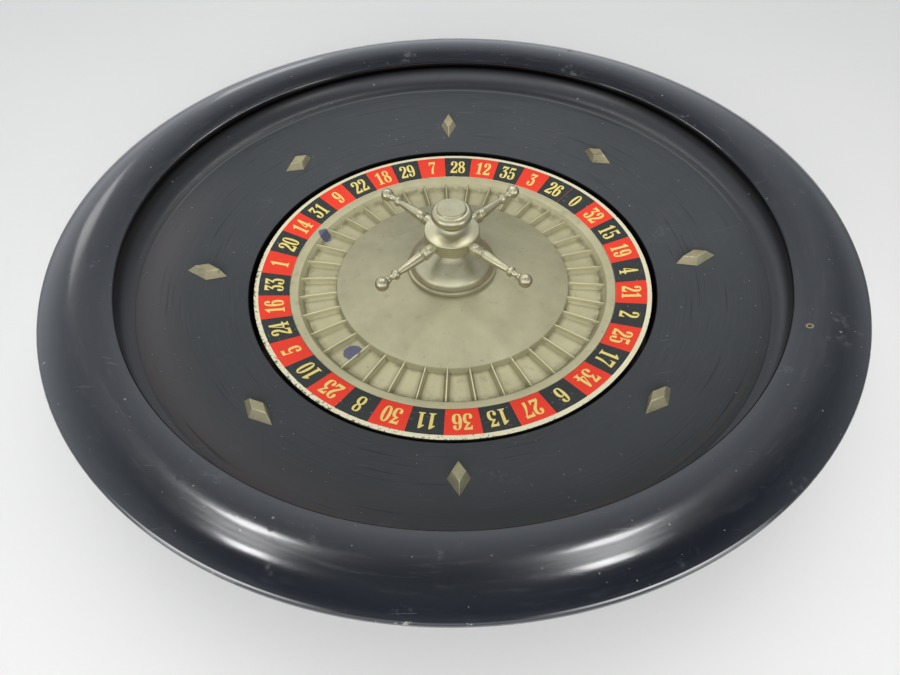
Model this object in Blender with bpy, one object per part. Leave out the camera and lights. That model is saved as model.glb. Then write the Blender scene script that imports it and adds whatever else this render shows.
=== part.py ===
"""Roulette wheel: a turned wooden bowl and the plated rotor that spins in it.

Metres, +Z up, with the origin on the table under the middle of the bowl. The sizes below are in
millimetres, and each mesh is scaled to metres as it is made. A turned outline lists (radius, height)
points from the table up. The numbers and the single zero run clockwise from FIRST_WALL_DEG.
"""

from math import acos, asin, atan, atan2, cos, degrees, pi, radians, sin, tan

import bmesh
import bpy
from mathutils import Matrix, Vector

MM = 0.001
GAP = 0.3                 # left between two pieces that touch
RUNNING_GAP = 0.08        # round the spindle, which turns in its bush

# Bowl
BASE_R = 195.5
BASE_THICK = 12.0
BOWL_R = 230.0
ARRIS_Z = 78.0            # the arris round the rim, before its edge is eased
ARRIS_ROUND = 1.6
ARRIS_FACE = 1.2
LIP_R = 192.5
LIP_Z = 76.5
LIP_THICK = 2.8
CREST = (214.7, 81.7)     # the rim's top curves up from the lip to here, and down to the arris
TRACK_R = 184.1           # centre of the ball track's hollow section
TRACK_Z = 69.1
TRACK_ROUND = 13.5
APRON_R = 188.0
WELL_R = 128.5            # the hole that the rotor turns in
WELL_Z = 37.5
FOOT_R = 197.0            # where the rim's underside meets the base board

# Deflectors: rhombic diamonds, set by hand, so each is a little off its even place
DEFLECTOR_RING_R = 153.2
DEFLECTOR_HALF = (12.0, 6.0)
DEFLECTOR_TOP_SHARE = 0.58
DEFLECTOR_HIGH = 4.9
DEFLECTOR_SET_DEG = (-0.8, 0.1, 0.6, 2.2, 3.7, 3.2, 0.8, -0.5)

# Rotor
CELLS = 37
FIRST_WALL_DEG = -14.7
ROTOR_R = 126.0
ROTOR_Z = 36.0            # the number ring's flat border
CELL_OUT_R = 123.2
CELL_IN = (104.3, 32.5)
RING_THICK = 1.0
POCKET_OUT = (98.9, 31.1)
POCKET_IN = (74.9, 30.5)
FLOOR_Z = 26.5
FLOOR_OUT_R = 95.8
FLOOR_IN_R = 76.2
PAN_BOTTOM_Z = 23.5
FRET_HALF_BOTTOM = 1.0
FRET_HALF_TOP = 0.45
CONE_TOP = (27.5, 39.4)
CONE_THICK = 1.8

# Spindle, bush and turret
SPINDLE_R = 5.0
SPINDLE_TOP_Z = 46.0
BUSH_R = 9.0
BUSH_TOP_Z = 56.0
BORE_TOP_Z = 47.8
STUD_R = 3.0
STUD_BOTTOM_Z = 50.6
BOSS_R = 14.0
TURRET_FOOT_Z = CONE_TOP[1] + GAP
HUB_R = 17.0
HUB_BOTTOM_Z = 62.8
HUB_TOP_Z = 75.0
CAP_TOP_Z = 87.0
HANDLE_Z = 65.9
HANDLE_TURN_DEG = 46.1    # the first handle, from +X towards +Y
TENON_R = 2.0
TENON_START = 9.5
BALL_R = 4.2
BALL_AT = 57.6

ARC_STEP_DEG = 20.0


def material(name, colour, roughness, metallic):
    """A plain Principled material."""
    made = bpy.data.materials.new(name)
    made.use_nodes = True
    shader = made.node_tree.nodes["Principled BSDF"]
    shader.inputs["Base Color"].default_value = (*colour, 1.0)
    shader.inputs["Roughness"].default_value = roughness
    shader.inputs["Metallic"].default_value = metallic
    return made


def arc(centre, radius, start_deg, end_deg, step_deg=ARC_STEP_DEG):
    """Points along a circular arc."""
    steps = max(1, round(abs(end_deg - start_deg) / step_deg))
    angles = [radians(start_deg + (end_deg - start_deg) * i / steps) for i in range(steps + 1)]
    return [(centre[0] + radius * cos(a), centre[1] + radius * sin(a)) for a in angles]


def bezier(start, pull_start, pull_end, end, steps):
    """Points along a cubic curve, without its first point."""
    points = []
    for i in range(1, steps + 1):
        t = i / steps
        weights = ((1 - t) ** 3, 3 * t * (1 - t) ** 2, 3 * t * t * (1 - t), t ** 3)
        points.append(tuple(
            sum(w * p[axis] for w, p in zip(weights, (start, pull_start, pull_end, end)))
            for axis in (0, 1)
        ))
    return points


def rounded(before, corner, after, radius, step_deg=ARC_STEP_DEG):
    """The arc that rounds one corner of an outline."""
    here = Vector(corner)
    back = (Vector(before) - here).normalized()
    on = (Vector(after) - here).normalized()
    half = acos(max(-1.0, min(1.0, back.dot(on)))) / 2
    centre = here + (back + on).normalized() * radius / sin(half)
    start = here + back * radius / tan(half) - centre
    end = here + on * radius / tan(half) - centre
    first = degrees(atan2(start.y, start.x))
    sweep = (degrees(atan2(end.y, end.x)) - first + 180) % 360 - 180
    return arc(centre, radius, first, first + sweep, step_deg)


def add_object(name, bm, slot, parent=None):
    """Puts a millimetre bmesh into the scene as one named object, smooth where it is round."""
    bmesh.ops.scale(bm, vec=(MM, MM, MM), verts=bm.verts)
    bmesh.ops.recalc_face_normals(bm, faces=bm.faces)
    mesh = bpy.data.meshes.new(name)
    bm.to_mesh(mesh)
    bm.free()
    mesh.shade_smooth()
    mesh.set_sharp_from_angle(angle=radians(35))
    mesh.materials.append(slot)
    made = bpy.data.objects.new(name, mesh)
    made.parent = parent
    bpy.context.collection.objects.link(made)
    return made


def turned(name, outline, segments, slot, parent=None):
    """Spins an outline round Z. One that starts and ends on the axis is left open there."""
    bm = bmesh.new()
    verts = [bm.verts.new((r, 0, z)) for r, z in outline]
    pairs = list(zip(verts, verts[1:]))
    if outline[0][0] > 0:
        pairs.append((verts[-1], verts[0]))
    edges = [bm.edges.new(pair) for pair in pairs]
    bmesh.ops.spin(bm, geom=verts + edges, cent=(0, 0, 0), axis=(0, 0, 1), angle=2 * pi,
                   steps=segments, use_merge=True)
    bmesh.ops.remove_doubles(bm, verts=bm.verts, dist=1e-5)
    return add_object(name, bm, slot, parent)


def block(name, bottom, top, slot, parent=None):
    """A solid between a bottom loop and a top loop of (x, y, z) corners."""
    bm = bmesh.new()
    low = [bm.verts.new(p) for p in bottom]
    high = [bm.verts.new(p) for p in top]
    bm.faces.new(low)
    bm.faces.new(high)
    for i in range(len(low)):
        j = (i + 1) % len(low)
        bm.faces.new((low[i], low[j], high[j], high[i]))
    return add_object(name, bm, slot, parent)


def cutter(name, radius, start, end, turn_deg, height):
    """A hidden cylinder along a horizontal line out from the axis."""
    bm = bmesh.new()
    bmesh.ops.create_cone(bm, cap_ends=True, segments=16, radius1=radius, radius2=radius,
                          depth=end - start)
    bmesh.ops.translate(bm, vec=(0, 0, (start + end) / 2), verts=bm.verts)
    made = add_object(name, bm, plated)
    made.location.z = height * MM
    made.rotation_euler = (0, pi / 2, radians(turn_deg))
    made.hide_render = True
    made.display_type = "WIRE"
    return made


# ---- bowl ---------------------------------------------------------------------------------------

def apron_height(radius):
    """Height of the apron's running surface."""
    out_z = TRACK_Z - (TRACK_ROUND ** 2 - (APRON_R + GAP - TRACK_R) ** 2) ** 0.5
    return WELL_Z + (radius - WELL_R) * (out_z - WELL_Z) / (APRON_R - WELL_R)


def make_base_board():
    round_edge = rounded((0, 0), (BASE_R, 0), (BASE_R, BASE_THICK), 3.0, 30)
    outline = [(0, 0)] + round_edge + [(BASE_R, BASE_THICK), (0, BASE_THICK)]
    turned("base_board", outline, 48, wood)


def make_apron():
    low = BASE_THICK + GAP
    inner, edge, outer = (WELL_R, low), (WELL_R, WELL_Z), (APRON_R, apron_height(APRON_R))
    outline = [inner] + rounded(inner, edge, outer, 1.2, 40) + [outer, (APRON_R, low)]
    turned("apron", outline, 72, apron_paint)


def crowned(edge):
    """The circular arc from an edge of the rim's top up to the crest, where it is level."""
    across, drop = edge[0] - CREST[0], CREST[1] - edge[1]
    radius = (across ** 2 + drop ** 2) / (2 * drop)
    centre = (CREST[0], CREST[1] - radius)
    return arc(centre, radius, degrees(atan2(edge[1] - centre[1], across)), 90, 5)


def make_rim():
    """The ball track's hollow, the lip over it, the ridged top, the arris and the ogee underneath."""
    low = BASE_THICK + GAP
    wall_r = APRON_R + GAP
    shelf_z = LIP_Z - LIP_THICK
    track = arc((TRACK_R, TRACK_Z), TRACK_ROUND,
                -degrees(acos((wall_r - TRACK_R) / TRACK_ROUND)),
                degrees(asin((shelf_z - TRACK_Z) / TRACK_ROUND)), 15)
    lip, arris = (LIP_R, LIP_Z), (BOWL_R, ARRIS_Z)
    rise, fall = crowned(lip), crowned(arris)[::-1]
    outline = [(wall_r, low)] + track
    outline += rounded(track[-1], (LIP_R, shelf_z), lip, 0.8, 45)
    outline += rounded((LIP_R, shelf_z), lip, rise[1], 0.8, 50)
    outline += rise[1:] + fall[1:-1]
    outline += rounded(fall[-2], arris, (BOWL_R, low), ARRIS_ROUND, 20)
    under = (BOWL_R, outline[-1][1] - ARRIS_FACE)
    outline += [under]
    outline += bezier(under, (212, 70), (213, 34), (FOOT_R, low), 6)
    turned("rim", outline, 72, lacquer)


def make_deflectors():
    """Every other diamond points along the slope, and the ones between lie across it."""
    slope = atan(apron_height(1) - apron_height(0))
    for i, off in enumerate(DEFLECTOR_SET_DEG):
        along, across = DEFLECTOR_HALF if i % 2 == 0 else DEFLECTOR_HALF[::-1]
        loop = [(along, 0), (0, across), (-along, 0), (0, -across)]
        share = DEFLECTOR_TOP_SHARE
        made = block(f"deflector_{i + 1}", [(x, y, 0) for x, y in loop],
                     [(x * share, y * share, DEFLECTOR_HIGH) for x, y in loop], brass)
        turn = Matrix.Rotation(radians(45 * i + off), 4, "Z")
        lift = (apron_height(DEFLECTOR_RING_R) + 2 * GAP) * MM
        place = Matrix.Translation((DEFLECTOR_RING_R * MM, 0, lift))
        made.matrix_world = turn @ place @ Matrix.Rotation(-slope, 4, "Y")


def make_spindle():
    low = BASE_THICK + GAP
    outline = [(0, low), (24, low), (24, low + 3), (22, low + 4), (SPINDLE_R + 3, low + 4),
               (SPINDLE_R, low + 7), (SPINDLE_R, SPINDLE_TOP_Z - 3), (0, SPINDLE_TOP_Z)]
    turned("spindle", outline, 24, steel)


# ---- rotor --------------------------------------------------------------------------------------

def make_rotor_pan(parent):
    """Hub boss, pocket floor, sloped outer wall, flange, and the seat under the number ring."""
    bore = BUSH_R + GAP
    drop = RING_THICK + GAP
    outline = [
        (bore, PAN_BOTTOM_Z), (bore, CONE_TOP[1] - CONE_THICK - GAP),
        (BOSS_R, CONE_TOP[1] - CONE_THICK - GAP), (BOSS_R, FLOOR_Z),
        (FLOOR_OUT_R, FLOOR_Z), POCKET_OUT, (POCKET_OUT[0] + 0.9, POCKET_OUT[1] + 0.5), CELL_IN,
        (CELL_IN[0], CELL_IN[1] - drop), (CELL_OUT_R, ROTOR_Z - drop), (ROTOR_R, ROTOR_Z - drop),
        (ROTOR_R, 29.0), (107, 26.5), (99, PAN_BOTTOM_Z),
    ]
    turned("rotor_pan", outline, 2 * CELLS, plated, parent)


def make_number_ring(parent):
    inner_r = CELL_IN[0] + GAP
    outline = [
        (inner_r, CELL_IN[1] - RING_THICK), (CELL_OUT_R, ROTOR_Z - RING_THICK),
        (ROTOR_R, ROTOR_Z - RING_THICK), (ROTOR_R, ROTOR_Z), (CELL_OUT_R, ROTOR_Z),
        (inner_r, CELL_IN[1]),
    ]
    turned("number_ring", outline, 2 * CELLS, ring_paint, parent)


def make_frets(parent):
    """A tapered blade on each wall between two pockets, just clear of the pan and the cone."""
    low, high = FLOOR_Z + GAP, POCKET_IN[1]
    ends = (
        (FLOOR_IN_R + GAP, POCKET_IN[0] + GAP),
        (FLOOR_OUT_R - GAP, POCKET_OUT[0] - 2 * GAP),
    )
    loops = []
    for half, z, level in ((FRET_HALF_BOTTOM, low, 0), (FRET_HALF_TOP, high, 1)):
        inner, outer = ends[0][level], ends[1][level]
        loops.append([(inner, -half, z), (outer, -half, z), (outer, half, z), (inner, half, z)])
    for k in range(CELLS):
        made = block(f"fret_{k + 1:02d}", *loops, plated, parent)
        made.rotation_euler.z = radians(FIRST_WALL_DEG - k * 360 / CELLS)


def make_cone_plate(parent):
    """A shallow cone, flat under the turret, with a skirt down to the pocket floor."""
    low = FLOOR_Z + GAP
    bore = BUSH_R + GAP
    edge = rounded((FLOOR_IN_R, low), POCKET_IN, CONE_TOP, 0.8, 40)
    outline = [
        (bore, CONE_TOP[1] - CONE_THICK), (CONE_TOP[0] - 0.5, CONE_TOP[1] - CONE_THICK),
        (POCKET_IN[0] - 2.0, POCKET_IN[1] - 1.5), (FLOOR_IN_R - 2.0, low), (FLOOR_IN_R, low),
        *edge, CONE_TOP, (bore, CONE_TOP[1]),
    ]
    turned("cone_plate", outline, 2 * CELLS, plated, parent)


def make_bush(parent):
    """A sleeve, closed at the top over the spindle, with a tapped hole for the stud."""
    bore = SPINDLE_R + RUNNING_GAP
    thread = STUD_R + GAP
    outline = [
        (0, STUD_BOTTOM_Z - GAP), (thread, STUD_BOTTOM_Z - GAP), (thread, BUSH_TOP_Z),
        (BUSH_R, BUSH_TOP_Z), (BUSH_R, PAN_BOTTOM_Z), (bore, PAN_BOTTOM_Z), (bore, BORE_TOP_Z - 3),
        (0, BORE_TOP_Z),
    ]
    turned("bush", outline, 24, brass, parent)


def make_turret_base(parent):
    """A bead round the foot, a thin-edged bell over it and a neck that holds up the drum."""
    bore, thread = BUSH_R + GAP, STUD_R + GAP
    bead = arc((26.7, TURRET_FOOT_Z + 2.0), 2.0, -90, 75, 41)
    edge = (27.4, 44.7)
    outline = [(bore, TURRET_FOOT_Z), *bead, (26.5, TURRET_FOOT_Z + 4.1), (27.3, 44.1), edge]
    outline += bezier(edge, (25.8, 51.4), (17.0, 53.8), (13.0, 58.2), 6)
    outline += arc((12.4, 59.5), 1.2, -50, 90, 50)
    outline += [(11.4, HUB_BOTTOM_Z - GAP), (thread, HUB_BOTTOM_Z - GAP),
                (thread, BUSH_TOP_Z + GAP), (bore, BUSH_TOP_Z + GAP)]
    turned("turret_base", outline, 40, plated, parent)


def make_turret_hub(parent):
    """The drum, hollow-curved on top, with a socket for each handle's tenon."""
    bore = STUD_R + GAP
    edge, neck = (HUB_R - 0.5, 70.6), (7.6, HUB_TOP_Z)
    outline = [
        (bore, HUB_BOTTOM_Z), (HUB_R - 0.4, HUB_BOTTOM_Z), (HUB_R, HUB_BOTTOM_Z + 0.5),
        (HUB_R, 70.0), edge, *bezier(edge, (12.6, 71.9), (9.2, 72.2), neck, 5), (bore, HUB_TOP_Z),
    ]
    hub = turned("turret_hub", outline, 40, plated, parent)
    for i in range(4):
        socket = cutter(f"socket_{i + 1}", TENON_R + GAP, TENON_START - GAP, HUB_R + 4,
                        HANDLE_TURN_DEG + 90 * i, HANDLE_Z)
        cut = hub.modifiers.new(socket.name, "BOOLEAN")
        cut.object = socket


def make_turret_cap(parent):
    """A flat-topped knob and the stud that clamps the turret and cone to the bush."""
    seat = HUB_TOP_Z + GAP
    outline = [(0, STUD_BOTTOM_Z), (STUD_R, STUD_BOTTOM_Z), (STUD_R, seat), (6.6, seat),
               (6.2, seat + 1.6)]
    outline += arc((8.4, 81.9), 4.0, -80, 60, 28)
    outline += [(9.0, 85.5), (8.7, 86.4), (8.0, CAP_TOP_Z), (0, CAP_TOP_Z)]
    turned("turret_cap", outline, 32, plated, parent)


def make_handles(parent):
    """Baluster handles: tenon, root, two rings, a swelling taper, a collar, a neck and a ball."""
    ball = arc((0, BALL_AT), BALL_R, -61, 90, 30)
    outline = [
        (0, TENON_START), (TENON_R, TENON_START), (TENON_R, HUB_R + GAP + 0.1),
        (3.5, HUB_R + GAP + 0.1), (3.5, 21.4), (3.0, 21.9), (4.0, 22.6), (3.2, 23.4), (4.0, 24.2),
        (2.9, 25.2), (3.3, 28.0), (2.7, 36.0), (1.8, 45.0), (3.1, 46.4), (3.1, 47.8), (1.8, 49.0),
        (1.6, 51.4), (2.3, 53.2), *ball[:-1], (0, BALL_AT + BALL_R),
    ]
    for i in range(4):
        handle = turned(f"handle_{i + 1}", outline, 12, plated, parent)
        handle.location.z = HANDLE_Z * MM
        handle.rotation_euler = (0, pi / 2, radians(HANDLE_TURN_DEG + 90 * i))


for old in list(bpy.data.objects):
    bpy.data.objects.remove(old)

lacquer = material("black_lacquer", (0.012, 0.014, 0.019), 0.25, 0.0)
apron_paint = material("apron_black", (0.045, 0.052, 0.056), 0.5, 0.0)
wood = material("stained_wood", (0.05, 0.03, 0.02), 0.6, 0.0)
plated = material("satin_nickel", (0.62, 0.6, 0.48), 0.38, 1.0)
ring_paint = material("ring_enamel", (0.6, 0.56, 0.42), 0.45, 0.0)
brass = material("aged_brass", (0.42, 0.38, 0.25), 0.4, 1.0)
steel = material("turned_steel", (0.45, 0.45, 0.46), 0.35, 1.0)

make_base_board()
make_apron()
make_rim()
make_deflectors()
make_spindle()

rotor_axis = bpy.data.objects.new("rotor_axis", None)
bpy.context.collection.objects.link(rotor_axis)
for make in (make_rotor_pan, make_number_ring, make_frets, make_cone_plate, make_bush,
             make_turret_base, make_turret_hub, make_turret_cap, make_handles):
    make(rotor_axis)
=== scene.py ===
"""Looks for the roulette wheel: finer turned meshes, bevelled metal, numerals, paint, wear and light.

Metres in the frame's own axes. Sizes that belong to a piece are read from its CAD node, and the ones
named here in millimetres are details that only this script makes.
"""

from math import atan2, cos, floor, hypot, pi, radians, sin

import bmesh
import bpy
from mathutils import Matrix, Vector
from mathutils.geometry import tessellate_polygon


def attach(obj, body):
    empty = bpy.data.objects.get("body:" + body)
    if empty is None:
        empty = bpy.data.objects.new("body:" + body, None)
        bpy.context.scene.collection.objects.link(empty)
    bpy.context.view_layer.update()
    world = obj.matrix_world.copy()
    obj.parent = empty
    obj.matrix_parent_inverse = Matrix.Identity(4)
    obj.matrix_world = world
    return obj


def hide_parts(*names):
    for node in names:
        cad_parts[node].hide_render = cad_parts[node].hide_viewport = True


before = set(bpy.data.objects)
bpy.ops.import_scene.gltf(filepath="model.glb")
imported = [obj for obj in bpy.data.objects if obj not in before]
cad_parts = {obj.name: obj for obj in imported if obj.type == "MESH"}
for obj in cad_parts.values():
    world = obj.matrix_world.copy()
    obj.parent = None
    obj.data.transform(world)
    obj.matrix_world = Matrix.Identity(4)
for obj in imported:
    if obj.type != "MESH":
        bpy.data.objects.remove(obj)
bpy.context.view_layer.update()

MM = 0.001
SHARP_DEG = 33            # a corner of an outline that turns more than this stays sharp
ARC_STEPS = 6             # how many lines stand for one side of a turned outline's arc
CELLS = 37
CELL_SEGMENTS = 12        # sides of the number ring in one cell
SINK = 0.4 * MM           # how far a fixed piece is carried into the one it stands on
DEFLECTOR_SINK = 0.7 * MM
SEAM_LAP = 0.3 * MM       # how far the apron is carried into the rim
NUMBERS = (0, 32, 15, 19, 4, 21, 2, 25, 17, 34, 6, 27, 13, 36, 11, 30, 8, 23, 10, 5, 24, 16, 33, 1,
           20, 14, 31, 9, 22, 18, 29, 7, 28, 12, 35, 3, 26)
ZERO_CELL = -6            # how many cells anticlockwise of the first wall the zero's cell starts
GLYPH_WIDE = 45           # the box that the digits are drawn in
GLYPH_HIGH = 100
GLYPH_STEPS = 4           # how many lines stand for one curved side of a digit
DIGIT_HIGH = 11.6 * MM
DIGIT_WIDE = 5.2 * MM
DIGIT_GAP = 0.6 * MM
PAINT_THICK = 0.05 * MM
# Up a pocket wall: share of its height, flare of its foot in mm, share of its width drawn in
FRET_RINGS = ((0.0, 1.0, 0), (0.1, 0.7, 0), (0.2, 0.4, 0), (0.32, 0.18, 0), (0.48, 0.05, 0),
              (0.65, 0, 0), (0.88, 0, 0.04), (0.95, 0, 0.16), (0.985, 0, 0.35), (1.0, 0, 0.6))
# Marks of use at rest, and the stretches of arris with a painted highlight: middle X and Y, and reach,
# in mm
LOST_PLATING = ((-60.0, -59.5, 6.0), (-88.0, 43.0, 4.2))
SCRATCHED_RIM = ((117, -177, 14), (163, -143, 17), (-176, -110, 20), (186, -70, 16))
SCRATCHED_APRON = ((-47, -139, 14), (-20, 150, 16), (46, 148, 15), (138, 60, 12))
ARRIS_HIGHLIGHT_SPOTS = ((-100, -207, 64), (84, -214, 66))
RIM_DENT = (180.1, -88.0, 1.1)
# The camera: metres, then degrees of yaw, of pitch down and of roll, then mm of lens on 36 mm
CAMERA_AT = (0, -0.30176, 0.32809)
CAMERA_TURN = (-0.41, 49.98, -0.93)
CAMERA_LENS = 25.92


# ---- outlines and meshes ------------------------------------------------------------------------

def outline_of(node):
    """A turned CAD node's outline: its vertices on the +X side of the XZ plane, in order."""
    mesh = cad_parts[node].data
    spots = {v.index: (round(v.co.x, 6), round(v.co.z, 6)) for v in mesh.vertices
             if abs(v.co.y) < 1e-6 and v.co.x > -1e-6}
    joined = {}
    for edge in mesh.edges:
        a, b = (spots.get(i) for i in edge.vertices)
        if a and b and a != b:
            joined.setdefault(a, set()).add(b)
            joined.setdefault(b, set()).add(a)
    ends = [p for p in joined if len(joined[p]) == 1]
    path = [min(ends or joined)]
    while True:
        onward = sorted(p for p in joined[path[-1]] if p not in path)
        if not onward:
            break
        path.append(onward[0])
    if ends:
        caps = [(0.0, path[i][1]) for i in (0, -1)]
        path = [caps[0]] * (path[0][0] > 0) + path + [caps[1]] * (path[-1][0] > 0)
    return path, not ends


def heading(a, b):
    return (Vector(b) - Vector(a)).normalized()


def smoothed(points, closed, steps):
    """The same outline with curves for its arcs. Corners and long straight runs stay as they are."""
    count = len(points)
    tangents = []
    for i, here in enumerate(points):
        before, after = points[i - 1], points[(i + 1) % count]
        into, out = heading(before, here), heading(here, after)
        into_long = (Vector(here) - Vector(before)).length
        out_long = (Vector(after) - Vector(here)).length
        end = not closed and i in (0, count - 1)
        if end or into.angle(out) > radians(SHARP_DEG):
            tangents.append((into, out))
        elif into_long > 2.2 * out_long:
            tangents.append((into, into))
        elif out_long > 2.2 * into_long:
            tangents.append((out, out))
        else:
            middle = (into * out_long + out * into_long).normalized()
            tangents.append((middle, middle))
    result = []
    for i in range(count if closed else count - 1):
        start, end = Vector(points[i]), Vector(points[(i + 1) % count])
        long = (end - start).length
        leave, arrive = tangents[i][1] * long, tangents[(i + 1) % count][0] * long
        straight = heading(start, end)
        bent = max(straight.angle(leave), straight.angle(arrive)) > radians(0.5)
        for k in range(steps if bent else 1):
            t = k / steps if bent else 0
            result.append(
                start * (2 * t ** 3 - 3 * t ** 2 + 1) + leave * (t ** 3 - 2 * t ** 2 + t)
                + end * (3 * t ** 2 - 2 * t ** 3) + arrive * (t ** 3 - t ** 2)
            )
    if not closed:
        result.append(Vector(points[-1]))
    return [(p[0], p[1]) for p in result]


def softened(points, closed, size):
    """Cuts each sharp corner of an outline back by size and rounds it with two more points."""
    count = len(points)
    result = []
    for i, here in enumerate(points):
        if not closed and i in (0, count - 1):
            result.append(here)
            continue
        before, after = Vector(points[i - 1]), Vector(points[(i + 1) % count])
        spot = Vector(here)
        into, out = heading(before, spot), heading(spot, after)
        if into.angle(out) < radians(SHARP_DEG) or here[0] < 1e-6:
            result.append(here)
            continue
        cut = min(size, 0.4 * (spot - before).length, 0.4 * (after - spot).length)
        start, end = spot - into * cut, spot + out * cut
        for t in (0, 0.25, 0.5, 0.75, 1):
            p = start * (1 - t) ** 2 + spot * 2 * t * (1 - t) + end * t ** 2
            result.append((p.x, p.y))
    return result


def add_piece(name, verts, faces, body, replaced, sharp_deg=SHARP_DEG):
    """A smooth-shaded piece on a CAD body, in place of the replaced nodes."""
    mesh = bpy.data.meshes.new(name)
    mesh.from_pydata(verts, [], faces)
    bm = bmesh.new()
    bm.from_mesh(mesh)
    bmesh.ops.remove_doubles(bm, verts=bm.verts, dist=1e-7)
    bmesh.ops.recalc_face_normals(bm, faces=bm.faces)
    bm.to_mesh(mesh)
    bm.free()
    mesh.shade_smooth()
    mesh.set_sharp_from_angle(angle=radians(sharp_deg))
    piece = bpy.data.objects.new(name, mesh)
    bpy.context.scene.collection.objects.link(piece)
    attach(piece, body)
    if replaced:
        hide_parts(*replaced)
    return piece


def spun(outline, closed, segments, turn=0.0):
    """Vertices and faces of an outline turned round Z."""
    verts, faces = [], []
    count = len(outline)
    for k in range(segments):
        a = turn + 2 * pi * k / segments
        verts += [(r * cos(a), r * sin(a), z) for r, z in outline]
    for k in range(segments):
        here, there = k * count, (k + 1) % segments * count
        for i in range(count if closed else count - 1):
            j = (i + 1) % count
            faces.append((here + i, there + i, there + j, here + j))
    return verts, faces


def turned_look(node, body, segments, edge=0.25, change=None):
    """A fine copy of a turned CAD node: arcs smoothed, edges rounded by about edge mm."""
    outline, closed = outline_of(node)
    if change:
        outline = change(outline)
    outline = softened(smoothed(outline, closed, ARC_STEPS), closed, edge * MM)
    verts, faces = spun(outline, closed, segments)
    return add_piece(f"{node}_turned", verts, faces, body, [node])


# ---- material graphs ----------------------------------------------------------------------------

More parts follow.
